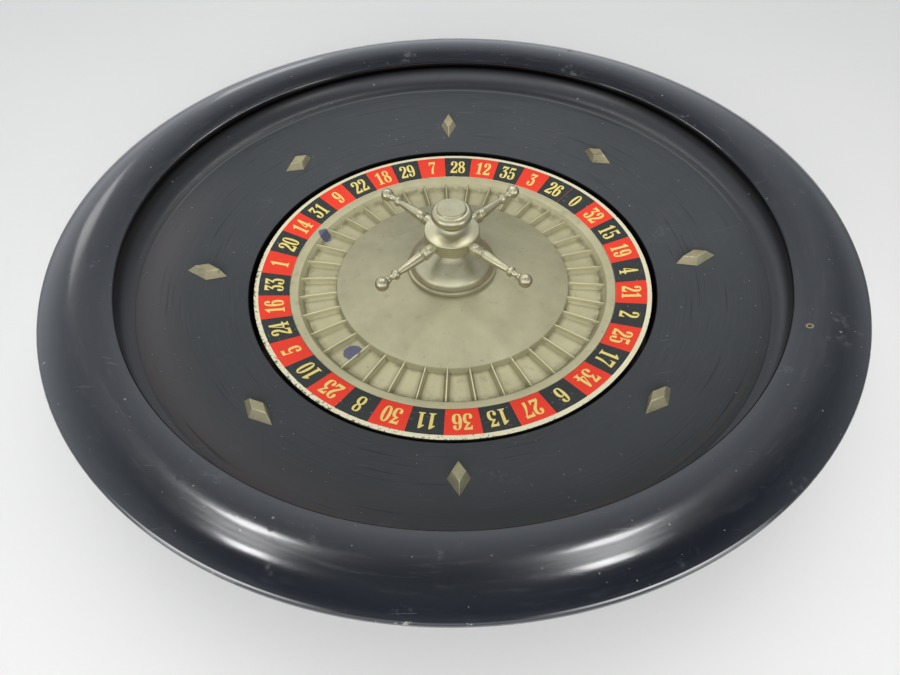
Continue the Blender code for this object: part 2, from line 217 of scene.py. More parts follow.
class Graph:
    """A material's nodes, built from its surface colour down to the noise that drives it."""

    def __init__(self, name, metallic=0.0, roughness=0.5, ior=1.5):
        self.material = bpy.data.materials.new(name)
        self.material.use_nodes = True
        self.tree = self.material.node_tree
        self.shader = self.tree.nodes["Principled BSDF"]
        for socket, value in (("Metallic", metallic), ("Roughness", roughness), ("IOR", ior),
                              ("Coat Roughness", 0.1)):
            self.shader.inputs[socket].default_value = value
        self.place = self.add("ShaderNodeTexCoord").outputs["Object"]
        split = self.add("ShaderNodeSeparateXYZ", Vector=self.place)
        self.x, self.y, self.z = split.outputs
        self.radius = self.math("SQRT", self.math("ADD", self.math("MULTIPLY", self.x, self.x),
                                                  self.math("MULTIPLY", self.y, self.y)))

    def add(self, kind, **inputs):
        node = self.tree.nodes.new(kind)
        for name, value in inputs.items():
            self.feed(node.inputs[name.replace("_", " ")], value)
        return node

    def feed(self, socket, value):
        if isinstance(value, bpy.types.NodeSocket):
            self.tree.links.new(value, socket)
        elif socket.type == "RGBA":
            socket.default_value = (*value, 1.0)
        else:
            socket.default_value = value

    def math(self, operation, *values, clamp=False):
        node = self.tree.nodes.new("ShaderNodeMath")
        node.operation = operation
        node.use_clamp = clamp
        for socket, value in zip(node.inputs, values):
            self.feed(socket, value)
        return node.outputs[0]

    def times(self, *values):
        result = values[0]
        for value in values[1:]:
            result = self.math("MULTIPLY", result, value)
        return result

    def step(self, value, low, high):
        """0 below low and 1 above high, smooth between. low may be the higher one, to turn it over."""
        node = self.tree.nodes.new("ShaderNodeMapRange")
        node.interpolation_type = "SMOOTHSTEP"
        self.feed(node.inputs["Value"], value)
        node.inputs["From Min"].default_value = low
        node.inputs["From Max"].default_value = high
        return node.outputs["Result"]

    def band(self, value, low, high, soft):
        """1 between low and high, fading to 0 within soft on both sides."""
        return self.times(self.step(value, low - soft, low), self.step(value, high + soft, high))

    def vector(self, x, y, z):
        return self.add("ShaderNodeCombineXYZ", X=x, Y=y, Z=z).outputs[0]

    def scaled(self, x, y, z):
        return self.vector(self.times(self.x, x), self.times(self.y, y), self.times(self.z, z))

    def round_about(self, along, across):
        """Coordinates stretched along the circles round the axis: few features along, many across."""
        safe = self.math("MAXIMUM", self.radius, 1e-5)
        return self.vector(self.times(self.math("DIVIDE", self.x, safe), along),
                           self.times(self.math("DIVIDE", self.y, safe), along),
                           self.times(self.math("ADD", self.radius, self.z), across))

    def noise(self, vector, scale, detail=3.0, roughness=0.55):
        node = self.add("ShaderNodeTexNoise", Vector=vector, Scale=scale, Detail=detail,
                        Roughness=roughness)
        return node.outputs["Fac"]

    def around(self, spot, soft, ragged=0.0):
        """1 in the middle of a spot given as X, Y and reach in mm, and 0 outside it. soft is the share
        of the reach that fades, and ragged is how far in mm the edge strays."""
        x, y, reach = (value * MM for value in spot)
        dx, dy = self.math("SUBTRACT", self.x, x), self.math("SUBTRACT", self.y, y)
        away = self.math("SQRT", self.math("ADD", self.times(dx, dx), self.times(dy, dy)))
        if ragged:
            field = self.math("SUBTRACT", self.noise(self.place, 230.0, 5.0, 0.7), 0.5)
            away = self.math("ADD", away, self.times(field, ragged * MM))
        return self.step(away, reach, reach * (1 - soft))

    def around_any(self, spots, soft, ragged=0.0):
        result = self.around(spots[0], soft, ragged)
        for spot in spots[1:]:
            result = self.math("MAXIMUM", result, self.around(spot, soft, ragged))
        return result

    def specks(self, scale, size, share):
        """Small round dots: about share of the cells of a grid hold one, of up to size cells across."""
        node = self.add("ShaderNodeTexVoronoi", Vector=self.place, Scale=scale)
        chance = self.add("ShaderNodeSeparateColor", Color=node.outputs["Color"])
        there = self.step(chance.outputs[0], 1 - share, 1 - share + 0.01)
        reach = self.times(chance.outputs[1], size)
        near = self.math("LESS_THAN", node.outputs["Distance"], reach)
        return self.times(there, near)

    def scratches(self, scale, turn_deg, stretch, share, wobble=0.0):
        """Thin marks in one direction, straight ones unless there is wobble."""
        lie = self.tree.nodes.new("ShaderNodeMapping")
        self.feed(lie.inputs["Vector"], self.place)
        lie.inputs["Rotation"].default_value = (0, 0, radians(turn_deg))
        lie.inputs["Scale"].default_value = (scale, scale * stretch, scale)
        where = lie.outputs[0]
        if wobble:
            bend = self.add("ShaderNodeTexNoise", Vector=self.place, Scale=14.0)
            push = self.tree.nodes.new("ShaderNodeVectorMath")
            push.operation = "SCALE"
            self.feed(push.inputs[0], bend.outputs["Color"])
            push.inputs["Scale"].default_value = wobble
            total = self.tree.nodes.new("ShaderNodeVectorMath")
            self.feed(total.inputs[0], lie.outputs[0])
            self.feed(total.inputs[1], push.outputs[0])
            where = total.outputs[0]
        field = self.noise(where, 1.0, 2.0, 0.5)
        return self.step(field, 1 - share, 1 - share + 0.03)

    def mix(self, factor, a, b):
        node = self.tree.nodes.new("ShaderNodeMix")
        node.data_type = "RGBA"
        self.feed(node.inputs[0], factor)
        self.feed(node.inputs[6], a)
        self.feed(node.inputs[7], b)
        return node.outputs[2]

    def blend(self, factor, a, b):
        """A number from a to b."""
        node = self.tree.nodes.new("ShaderNodeMapRange")
        self.feed(node.inputs["Value"], factor)
        self.feed(node.inputs["To Min"], a)
        self.feed(node.inputs["To Max"], b)
        return node.outputs["Result"]

    def finish(self, colour, roughness, height=None, depth=0.0):
        """depth is the bump's height in mm."""
        self.feed(self.shader.inputs["Base Color"], colour)
        self.feed(self.shader.inputs["Roughness"], roughness)
        if height is not None:
            bump = self.add("ShaderNodeBump", Height=height, Strength=1.0, Distance=depth * MM)
            self.feed(self.shader.inputs["Normal"], bump.outputs["Normal"])
        return self.material


# Paint edges here and below are the two ends of a smooth step, and after them a band's softness, in
# metres from the axis or above the table.
ARRIS_RADIUS = (0.2289, 0.2294)
ARRIS_HIGHLIGHT_BAND = (0.2288, 0.2291, 0.0003)
ARRIS_Z = (0.0756, 0.0766)
RIM_TOP_Z = (0.070, 0.074)
TRACK_RADIUS = (0.1986, 0.1982)
TRACK_Z = (0.0742, 0.0738)
OVERHUNG_Z = (0.0655, 0.0705)
LIP_RADIUS = (0.1934, 0.1930)
LIP_Z = (0.0736, 0.0740)


def lacquer():
    """Black lacquer on turned timber: glossy, dusty and scuffed, satin in the ball track, with painted
    shadow, near black and without sheen, where the lip hangs over, and a painted highlight along the
    arris at the front left and right."""
    g = Graph("black_lacquer_look", ior=1.45)
    cloud = g.noise(g.place, 16.0, 5.0, 0.6)
    fine = g.noise(g.place, 260.0, 3.0)
    turning = g.noise(g.round_about(9.0, 1400.0), 1.0, 3.0, 0.5)
    smear = g.step(g.noise(g.round_about(11.0, 420.0), 1.0, 5.0, 0.65), 0.5, 0.72)
    scuff = g.times(g.step(g.noise(g.place, 38.0, 6.0, 0.7), 0.58, 0.72), g.step(fine, 0.42, 0.62))
    straight = g.math("ADD", g.scratches(34.0, 24.0, 34.0, 0.25),
                      g.scratches(30.0, 118.0, 40.0, 0.24), clamp=True)
    curly = g.math("ADD", g.scratches(52.0, 70.0, 9.0, 0.30, 1.6),
                   g.scratches(60.0, 10.0, 8.0, 0.29, 2.0), clamp=True)
    hairs = g.math("ADD", straight, g.times(curly, g.around_any(SCRATCHED_RIM, 0.8)), clamp=True)
    dust = g.math("ADD", g.specks(150.0, 0.12, 0.16), g.specks(420.0, 0.16, 0.10), clamp=True)
    dull = g.specks(95.0, 0.22, 0.05)
    chipped = g.step(g.noise(g.place, 90.0, 6.0, 0.75), 0.61, 0.67)
    at_arris = g.step(g.z, *ARRIS_Z)
    worn = g.times(g.step(g.radius, *ARRIS_RADIUS), at_arris, chipped)
    # Painted highlight: a pale line along the arris at the front left and right, for the room's
    # reflection in it.
    arris_highlight = g.times(g.around_any(ARRIS_HIGHLIGHT_SPOTS, 0.9), g.band(g.radius, *ARRIS_HIGHLIGHT_BAND), at_arris)
    track = g.times(g.step(g.radius, *TRACK_RADIUS), g.step(g.z, *TRACK_Z))
    # Painted shadow: under the lip and on its inner edge the lacquer is painted near black, with almost
    # no sheen, for the shade there.
    lip_edge_shade = g.times(g.step(g.radius, *LIP_RADIUS), g.step(g.z, *LIP_Z))
    lip_shade = g.math("MAXIMUM", g.times(track, g.step(g.z, *OVERHUNG_Z)), lip_edge_shade)
    on_top = g.step(g.z, *RIM_TOP_Z)
    dent = g.times(g.around(RIM_DENT, 0.2), on_top)
    dent_edge = g.times(g.around((*RIM_DENT[:2], 1.8 * RIM_DENT[2]), 0.2), on_top)
    colour = g.mix(cloud, (0.0025, 0.004, 0.0075), (0.005, 0.0075, 0.013))
    colour = g.mix(g.times(smear, 0.25), colour, (0.025, 0.027, 0.032))
    colour = g.mix(g.times(scuff, 0.4), colour, (0.10, 0.105, 0.115))
    colour = g.mix(track, colour, (0.026, 0.028, 0.032))
    colour = g.mix(g.times(hairs, 0.35), colour, (0.16, 0.165, 0.17))
    colour = g.mix(g.times(dust, 0.6), colour, (0.34, 0.33, 0.31))
    colour = g.mix(g.times(worn, 0.6), colour, (0.42, 0.40, 0.36))
    # Painted highlight on the arris.
    colour = g.mix(g.times(arris_highlight, 0.8), colour, (0.60, 0.61, 0.60))
    colour = g.mix(dent_edge, colour, (0.30, 0.22, 0.11))
    colour = g.mix(dent, colour, (0.004, 0.004, 0.004))
    # Painted shadow under the lip.
    colour = g.mix(lip_shade, colour, (0.001, 0.001, 0.0015))
    rough = g.blend(cloud, 0.15, 0.20)
    rough = g.blend(g.times(smear, 0.4), rough, 0.42)
    rough = g.blend(track, rough, 0.34)
    matt = g.math("MAXIMUM", g.math("MAXIMUM", g.times(scuff, 0.8), dull), worn)
    rough = g.blend(matt, rough, 0.55)
    height = g.math("ADD", g.times(turning, 0.5), g.times(fine, 0.25))
    height = g.math("SUBTRACT", height, g.times(hairs, 0.5))
    # Painted shadow: almost no sheen under the lip.
    g.feed(g.shader.inputs["Specular IOR Level"], g.blend(lip_shade, 0.5, 0.02))
    g.feed(g.shader.inputs["Coat Weight"], g.blend(track, 0.6, 0.0))
    return g.finish(colour, rough, height, depth=0.014)


APRON_HOLE_SHADE = (0.1293, 0.1288)
APRON_WARM = (0.160, 0.182)
APRON_BROWN_LINE = (0.1835, 0.1850, 0.0008)
APRON_EDGE_HIGHLIGHT = (0.1866, 0.1874, 0.0004)


def apron_paint():
    """Satin black paint that the ball has burnished and marked in circles, lighter and warmer towards
    the left front, with a thin brown line by the lip at the front, a painted highlight along its outer
    edge at the back, and painted shadow at its inner edge by the hole.
    """
    g = Graph("apron_black_look", ior=1.16)
    cloud = g.noise(g.place, 13.0, 5.0, 0.62)
    fine = g.noise(g.place, 420.0, 3.0)
    circles = g.noise(g.round_about(5.0, 900.0), 1.0, 4.0, 0.6)
    hairs = g.math("ADD", g.scratches(26.0, 62.0, 42.0, 0.25, 0.6),
                   g.scratches(24.0, 151.0, 46.0, 0.24), clamp=True)
    rub = g.times(g.step(g.noise(g.place, 24.0, 6.0, 0.7), 0.58, 0.70), g.step(fine, 0.45, 0.6))
    dust = g.math("ADD", g.specks(120.0, 0.08, 0.14), g.specks(380.0, 0.16, 0.12), clamp=True)
    rubbed = g.times(g.around_any(SCRATCHED_APRON, 0.8), g.scratches(60.0, 35.0, 9.0, 0.30, 1.8))
    arcs = g.step(g.noise(g.round_about(2.2, 650.0), 1.0, 2.0, 0.5), 0.66, 0.70)
    near = g.step(g.y, -0.06, -0.15)
    broken = g.step(g.noise(g.round_about(7.0, 500.0), 1.0, 4.0, 0.6), 0.40, 0.55)
    # A thin brown line on the apron just inside the lip, on the near side only.
    near_brown_line = g.times(g.band(g.radius, *APRON_BROWN_LINE), near, broken)
    # Lighter and warmer towards the left front of the apron, outside about 170 mm from the axis.
    warm = g.times(g.step(g.radius, *APRON_WARM), g.step(g.x, 0.02, -0.09), g.step(g.y, 0.09, 0.0))
    # Painted highlight: a light line along the apron's outer edge, on the far side only.
    edge = g.times(g.band(g.radius, *APRON_EDGE_HIGHLIGHT), g.step(g.y, 0.0, 0.06))
    colour = g.mix(cloud, (0.054, 0.059, 0.063), (0.077, 0.083, 0.089))
    colour = g.mix(g.times(warm, 0.7), colour, (0.120, 0.110, 0.115))
    colour = g.mix(g.times(arcs, 0.55), colour, (0.022, 0.023, 0.025))
    colour = g.mix(g.times(g.step(circles, 0.5, 0.75), 0.25), colour, (0.115, 0.12, 0.125))
    colour = g.mix(g.times(rub, 0.35), colour, (0.14, 0.15, 0.15))
    colour = g.mix(g.times(g.math("MAXIMUM", hairs, rubbed), 0.4), colour, (0.19, 0.20, 0.20))
    colour = g.mix(g.times(near_brown_line, 0.25), colour, (0.16, 0.10, 0.065))
    # Painted highlight along the apron's far outer edge.
    colour = g.mix(g.times(edge, 0.35), colour, (0.20, 0.21, 0.21))
    colour = g.mix(g.times(dust, 0.6), colour, (0.38, 0.39, 0.38))
    # Painted shadow: the apron's inner edge by the hole is painted near black, for the shade in the gap
    # round the rotor.
    colour = g.mix(g.step(g.radius, *APRON_HOLE_SHADE), colour, (0.002, 0.002, 0.002))
    rough = g.blend(g.step(circles, 0.4, 0.7), 0.42, 0.52)
    height = g.math("ADD", g.times(circles, 0.4), g.times(fine, 0.4))
    return g.finish(colour, rough, height, depth=0.015)


POCKET_IN = 0.0764
POCKET_OUT = 0.0958
POCKET_FAR_END = (0.0915, 0.0955)
POCKET_NEAR_END = (0.0790, 0.0765)
WALL_TOP_Z = (0.0301, 0.0305)
RING_GAP_SHADE = (0.1236, 0.1244)


def nickel(name, light, dark, rough, grime, metallic, pocket=None):
    """Warm satin plating gone dull, mottled and a little stained, with turning marks. rough is its
    lowest and highest roughness. pocket is the height of the pocket floor and the angle of a wall; with
    it come painted shade at the foot of the walls and by the gap outside the number ring, stain and
    painted shade in the pocket ends, and a painted highlight on the wall tops."""
    g = Graph(name, metallic=metallic)
    cloud = g.noise(g.place, 45.0, 6.0, 0.65)
    grain = g.noise(g.place, 900.0, 3.0, 0.6)
    turning = g.noise(g.round_about(6.0, 2600.0), 1.0, 3.0, 0.5)
    stain = g.step(g.noise(g.place, 120.0, 6.0, 0.72), 0.56, 0.72)
    spots = g.specks(300.0, 0.2, 0.12)
    colour = g.mix(g.step(cloud, 0.3, 0.7), light, dark)
    colour = g.mix(g.times(stain, grime), colour, tuple(0.55 * c for c in dark))
    colour = g.mix(g.times(spots, 0.5), colour, (0.11, 0.105, 0.08))
    if pocket:
        floor_z, wall = pocket
        turn = g.math("SUBTRACT", g.math("ARCTAN2", g.y, g.x), wall)
        cell = g.math("DIVIDE", turn, 2 * pi / CELLS)
        # Painted shade on the pocket floor beside each wall.
        wall_foot_shade = g.step(g.math("PINGPONG", cell, 0.5), 0.32, 0.12)
        wall_foot_shade = g.times(wall_foot_shade, g.step(g.z, floor_z + 1.5 * MM, floor_z + 0.4 * MM))
        colour = g.mix(g.times(wall_foot_shade, 0.6), colour, tuple(0.6 * c for c in dark))
        deep = g.step(g.z, floor_z + 3.0 * MM, floor_z + 1.5 * MM)
        foot = g.math("MAXIMUM", g.step(g.radius, *POCKET_FAR_END),
                      g.step(g.radius, *POCKET_NEAR_END))
        # Stain and painted shade, dark brown, in the deep ends of each pocket.
        end_stain_and_shade = g.times(foot, deep, g.step(g.noise(g.place, 150.0, 5.0, 0.7), 0.35, 0.6))
        colour = g.mix(g.times(end_stain_and_shade, 0.55), colour, (0.13, 0.115, 0.06))
        # Painted highlight: the tops of the pocket walls are painted lighter.
        wall_top_highlight = g.times(g.band(g.radius, POCKET_IN, POCKET_OUT, 0.0003), g.step(g.z, *WALL_TOP_Z))
        colour = g.mix(wall_top_highlight, colour, tuple(1.3 * c for c in light))
        lost = g.around_any(LOST_PLATING, 0.1, 6.0)
        colour = g.mix(lost, colour, (0.095, 0.097, 0.145))
        # Painted shadow: the pan's edge outside the number ring is painted near black, for the shade in
        # the gap round the rotor.
        colour = g.mix(g.step(g.radius, *RING_GAP_SHADE), colour, (0.02, 0.02, 0.018))
    roughness = g.blend(stain, g.blend(cloud, *rough), rough[1] + 0.1)
    height = g.math("ADD", g.times(grain, 0.5), g.times(turning, 0.5))
    return g.finish(colour, roughness, height, depth=0.012)


def enamel(name, base, shade, chip, wear):
    """Baked paint on the number ring, rubbed in circles and chipped."""
    g = Graph(name, ior=1.3)
    cloud = g.noise(g.place, 80.0, 5.0, 0.65)
    grain = g.noise(g.place, 1500.0, 3.0, 0.6)
    rub = g.step(g.noise(g.round_about(26.0, 900.0), 1.0, 4.0, 0.65), 0.60, 0.74)
    chips = g.step(g.noise(g.place, 330.0, 5.0, 0.72), 0.665, 0.70)
    dots = g.specks(520.0, 0.22, 0.10)
    colour = g.mix(cloud, base, shade)
    colour = g.mix(g.times(rub, 0.4 * wear), colour, chip)
    colour = g.mix(g.times(g.math("MAXIMUM", chips, dots), wear), colour, chip)
    rough = g.blend(g.math("MAXIMUM", chips, rub), 0.55, 0.75)
    height = g.math("SUBTRACT", g.times(grain, 0.2), chips)
    return g.finish(colour, rough, height, depth=0.02)


RING_EDGE = (0.1243, 0.1259)


def ivory_paint():
    """The ring's pale border, chipped dark along its outer edge on the near left."""
    g = Graph("ring_ivory_look", ior=1.35)
    cloud = g.noise(g.place, 90.0, 5.0, 0.65)
    patch = g.noise(g.place, 420.0, 6.0, 0.75)
    edge = g.step(g.radius, *RING_EDGE)
    near_left = g.step(g.math("ADD", g.x, g.y), -0.02, -0.14)
    more = g.math("ADD", g.times(edge, 0.07), g.times(near_left, 0.09))
    chips = g.step(g.math("ADD", patch, more), 0.665, 0.70)
    colour = g.mix(cloud, (0.92, 0.88, 0.62), (0.78, 0.72, 0.48))
    colour = g.mix(g.times(chips, 0.85), colour, (0.035, 0.035, 0.03))
    return g.finish(colour, g.blend(chips, 0.5, 0.65), g.math("SUBTRACT", 1.0, chips), depth=0.03)


def stained_wood():
    """Dark stained board with grain along X."""
    g = Graph("stained_wood_look", roughness=0.55)
    grain = g.noise(g.scaled(1.2, 26.0, 8.0), 9.0, 6.0, 0.6)
    pores = g.step(g.noise(g.scaled(6.0, 260.0, 60.0), 9.0, 3.0), 0.58, 0.7)
    colour = g.mix(g.step(grain, 0.3, 0.7), (0.030, 0.016, 0.010), (0.075, 0.043, 0.026))
    colour = g.mix(g.times(pores, 0.6), colour, (0.012, 0.007, 0.005))
    return g.finish(colour, g.blend(grain, 0.5, 0.65), pores, depth=0.05)


def table_top():
    """The plain pale floor."""
    g = Graph("table_white", roughness=0.5)
    cloud = g.noise(g.place, 3.0, 4.0, 0.6)
    return g.finish(g.mix(cloud, (0.87, 0.88, 0.87), (0.92, 0.92, 0.91)), g.blend(cloud, 0.5, 0.6))


# ---- numerals -----------------------------------------------------------------------------------
# Each digit is drawn GLYPH_WIDE by GLYPH_HIGH. A point with a third value keeps its corner.

SIX = (
    [(22, 0), (7, 7), (0, 46), (6, 88), (23, 100), (38, 95), (43, 83), (40, 73), (33, 71), (27, 76),
     (28, 87), (23, 93), (17, 86), (15, 56, 1), (24, 63), (37, 60), (45, 46), (45, 22), (38, 5)],
    [(22, 6), (16, 14), (15, 34), (17, 50), (23, 55), (28, 48), (30, 30), (28, 12)],
)
DIGITS = {
    0: ([(22.5, 100), (39, 88), (45, 50), (39, 12), (22.5, 0), (6, 12), (0, 50), (6, 88)],
        [(22.5, 93), (28, 84), (30, 50), (28, 16), (22.5, 7), (17, 16), (15, 50), (17, 84)]),
    1: ([(7, 0, 1), (40, 0, 1), (40, 6, 1), (32, 8, 1), (32, 100, 1), (25, 100, 1), (5, 82, 1),
         (5, 75, 1), (16, 79, 1), (16, 8, 1), (7, 6, 1)],),
    2: ([(1, 0, 1), (44, 0, 1), (45, 28, 1), (40, 28, 1), (36, 18), (29, 15), (15, 17, 1), (20, 25),
         (36, 46), (44, 62), (45, 76), (41, 92), (23, 100), (7, 95), (1, 80), (3, 68), (9, 64),
         (16, 67), (18, 76), (15, 86), (20, 93), (27, 90), (30, 76), (26, 58), (13, 36), (3, 17),
         (1, 8)],),
    3: ([(3, 100, 1), (43, 100, 1), (43, 93, 1), (27, 62, 1), (38, 58), (45, 42), (45, 26), (39, 6),
         (21, 0), (6, 6), (1, 20), (4, 31), (11, 33), (17, 28), (16, 17), (15, 10), (21, 6), (28, 11),
         (30, 30), (28, 48), (20, 54), (12, 55, 1), (12, 60, 1), (30, 85, 1), (14, 85), (8, 80),
         (7, 74, 1), (3, 74, 1)],),
    4: ([(22, 100, 1), (34, 100, 1), (34, 34, 1), (45, 34, 1), (45, 25, 1), (34, 25, 1), (34, 7, 1),
         (42, 6, 1), (42, 0, 1), (12, 0, 1), (12, 6, 1), (19, 7, 1), (19, 25, 1), (0, 25, 1),
         (0, 33, 1)],
        [(19, 34, 1), (19, 78, 1), (6, 34, 1)]),
    5: ([(6, 100, 1), (41, 100, 1), (38, 84, 1), (12, 84, 1), (11, 60, 1), (20, 64), (32, 63),
         (43, 52), (45, 32), (42, 10), (22, 0), (6, 5), (1, 20), (4, 30), (11, 32), (17, 27),
         (16, 17), (15, 10), (21, 6), (28, 12), (30, 32), (28, 52), (20, 57), (12, 53), (9, 47, 1),
         (5, 48, 1)],),
    6: SIX,
    7: ([(2, 100, 1), (45, 100, 1), (45, 90, 1), (34, 60), (28, 30), (27, 0, 1), (12, 0, 1),
         (14, 28), (24, 58), (37, 84, 1), (14, 84), (8, 80), (6, 72, 1), (2, 72, 1)],),
    8: ([(22, 100), (37, 95), (42, 77), (38, 63), (33, 55), (42, 44), (45, 26), (39, 6), (22, 0),
         (6, 6), (0, 26), (3, 44), (11, 54), (5, 63), (2, 77), (7, 95)],
        [(22, 94), (28, 88), (29, 72), (25, 59), (16, 67), (15, 78), (16, 88)],
        [(20, 49), (15, 40), (14, 22), (17, 9), (22, 6), (29, 12), (31, 26), (29, 38)]),
    9: tuple([(GLYPH_WIDE - p[0], GLYPH_HIGH - p[1], *p[2:]) for p in loop] for loop in SIX),
}


def curved_loop(loop):
    """A digit's loop with smooth runs between its kept corners."""
    count = len(loop)
    result = []
    for i in range(count):
        p0, p1, p2, p3 = (Vector(loop[(i + k) % count][:2]) for k in (-1, 0, 1, 2))
        leave = (p2 - p1) if len(loop[i]) > 2 else (p2 - p0) / 2
        arrive = (p2 - p1) if len(loop[(i + 1) % count]) > 2 else (p3 - p1) / 2
        straight = len(loop[i]) > 2 and len(loop[(i + 1) % count]) > 2
        for k in range(1 if straight else GLYPH_STEPS):
            t = k / GLYPH_STEPS
            result.append(p1 * (2 * t ** 3 - 3 * t ** 2 + 1) + leave * (t ** 3 - 2 * t ** 2 + t)
                          + p2 * (3 * t ** 2 - 2 * t ** 3) + arrive * (t ** 3 - t ** 2))
    return result


class RingTop:
    """The sloped top of the number ring, as a place to paint on."""

    def __init__(self):
        outline, _ = outline_of("number_ring")
        tops = sorted(outline, key=lambda p: p[1])[-3:]
        self.outer, border = sorted((p for p in tops if p[1] > tops[-1][1] - 1e-5), reverse=True)[:2]
        self.cell_out = border
        self.cell_in = max((p for p in outline if p[0] == min(q[0] for q in outline)),
                           key=lambda p: p[1])
        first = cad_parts["fret_01"].data.vertices
        self.first_wall = atan2(sum(v.co.y for v in first), sum(v.co.x for v in first))

    def wall(self, k):
        """The angle of the wall that starts the cell with place k in NUMBERS."""
        return self.first_wall - (k + ZERO_CELL) * 2 * pi / CELLS

    def height(self, radius):
        share = (radius - self.cell_in[0]) / (self.cell_out[0] - self.cell_in[0])
        return self.cell_in[1] + share * (self.cell_out[1] - self.cell_in[1])

    def put(self, across, up, angle, lift):
        """A point across and up from the middle of a cell. Up is outwards."""
        radius = (self.cell_in[0] + self.cell_out[0]) / 2 + up
        x = radius * cos(angle) + across * sin(angle)
        y = radius * sin(angle) - across * cos(angle)
        return x, y, self.height(hypot(x, y)) + lift


def painted(top, loops, angle):
    """Vertices and faces of a thin coat of paint with this outline, lying on the ring."""
    flat = [p for loop in loops for p in loop]
    verts = [top.put(p[0], p[1], angle, PAINT_THICK) for p in flat]
    verts += [top.put(p[0], p[1], angle, -PAINT_THICK) for p in flat]
    faces = list(tessellate_polygon([[Vector((*p, 0)) for p in loop] for loop in loops]))
    faces += [tuple(i + len(flat) for i in reversed(face)) for face in faces]
    start = 0
    for loop in loops:
        for i in range(len(loop)):
            a, b = start + i, start + (i + 1) % len(loop)
            faces.append((a, b, b + len(flat), a + len(flat)))
        start += len(loop)
    return verts, faces


def make_numerals(top):
    """All the numbers in one piece, each read from outside the ring with its top outwards."""
    verts, faces = [], []
    for place, number in enumerate(NUMBERS):
        middle = top.wall(place) - pi / CELLS
        text = str(number)
        wide = len(text) * DIGIT_WIDE + (len(text) - 1) * DIGIT_GAP
        for i, letter in enumerate(text):
            left = -wide / 2 + i * (DIGIT_WIDE + DIGIT_GAP)
            loops = [[(left + p.x / GLYPH_WIDE * DIGIT_WIDE, (p.y / GLYPH_HIGH - 0.5) * DIGIT_HIGH)
                      for p in curved_loop(loop)] for loop in DIGITS[int(letter)]]
            more_verts, more_faces = painted(top, loops, middle)
            faces += [tuple(v + len(verts) for v in face) for face in more_faces]
            verts += more_verts
    piece = add_piece("numerals", verts, faces, "rotor", ())
    piece.data.materials.append(enamel("numeral_yellow", (0.96, 0.80, 0.24), (0.82, 0.67, 0.19),
                                       (0.16, 0.14, 0.06), wear=0.85))


def make_zero_line(top):
    """The thin dull red line between the zero and its neighbour."""
    half_up = (top.cell_out[0] - top.cell_in[0]) / 2
    half = 0.25 * MM
    loop = [(-half, -half_up), (half, -half_up), (half, half_up), (-half, half_up)]
    verts, faces = painted(top, [loop], top.wall(0))
    piece = add_piece("zero_line", verts, faces, "rotor", ())
    piece.data.materials.append(enamel("line_red", (0.33, 0.06, 0.05), (0.22, 0.05, 0.04),
                                       (0.04, 0.04, 0.04), wear=0.8))


def make_number_ring(top):
    """The ring with its red and dark cells between the walls, and its ivory border."""
    outline, closed = outline_of("number_ring")
    outline = softened(outline, closed, 0.15 * MM)
    verts, faces = spun(outline, closed, CELLS * CELL_SEGMENTS, top.first_wall)
    piece = add_piece("number_ring_painted", verts, faces, "rotor", ["number_ring"])
    for paint in (
        ivory_paint(),
        enamel("ring_red_look", (0.98, 0.055, 0.02), (0.84, 0.04, 0.018), (0.9, 0.33, 0.20), wear=0.45),
        enamel("ring_dark_look", (0.020, 0.024, 0.024), (0.036, 0.040, 0.038), (0.33, 0.36, 0.32),
               wear=0.8),
    ):
        piece.data.materials.append(paint)
    for face in piece.data.polygons:
        x, y, _ = face.center
        radius = hypot(x, y)
        if face.normal.z < 0.5 and radius > top.cell_out[0]:
            face.material_index = 2
        if face.normal.z > 0.5 and radius < top.cell_out[0] - 0.2 * MM:
            place = floor((top.wall(0) - atan2(y, x)) / (2 * pi / CELLS)) % CELLS
            face.material_index = 1 if place % 2 else 2


# ---- metal --------------------------------------------------------------------------------------

def bevel_edges(piece, width):
    """Rounds the edges of a piece by width mm."""
    bevel = piece.modifiers.new("edges", "BEVEL")
    bevel.width = width * MM
    bevel.segments = 3
    bevel.limit_method = "ANGLE"
    bevel.angle_limit = radians(30)


def solid_of(node, move):
    """A CAD node's own corners and faces, each corner passed through move."""
    bm = bmesh.new()
    bm.from_mesh(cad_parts[node].data)
    bmesh.ops.remove_doubles(bm, verts=bm.verts, dist=1e-6)
    bmesh.ops.dissolve_limit(bm, angle_limit=radians(1), verts=bm.verts, edges=bm.edges)
    verts = [tuple(move(v.co.copy())) for v in bm.verts]
    faces = [tuple(v.index for v in face.verts) for face in bm.faces]
    bm.free()
    return verts, faces


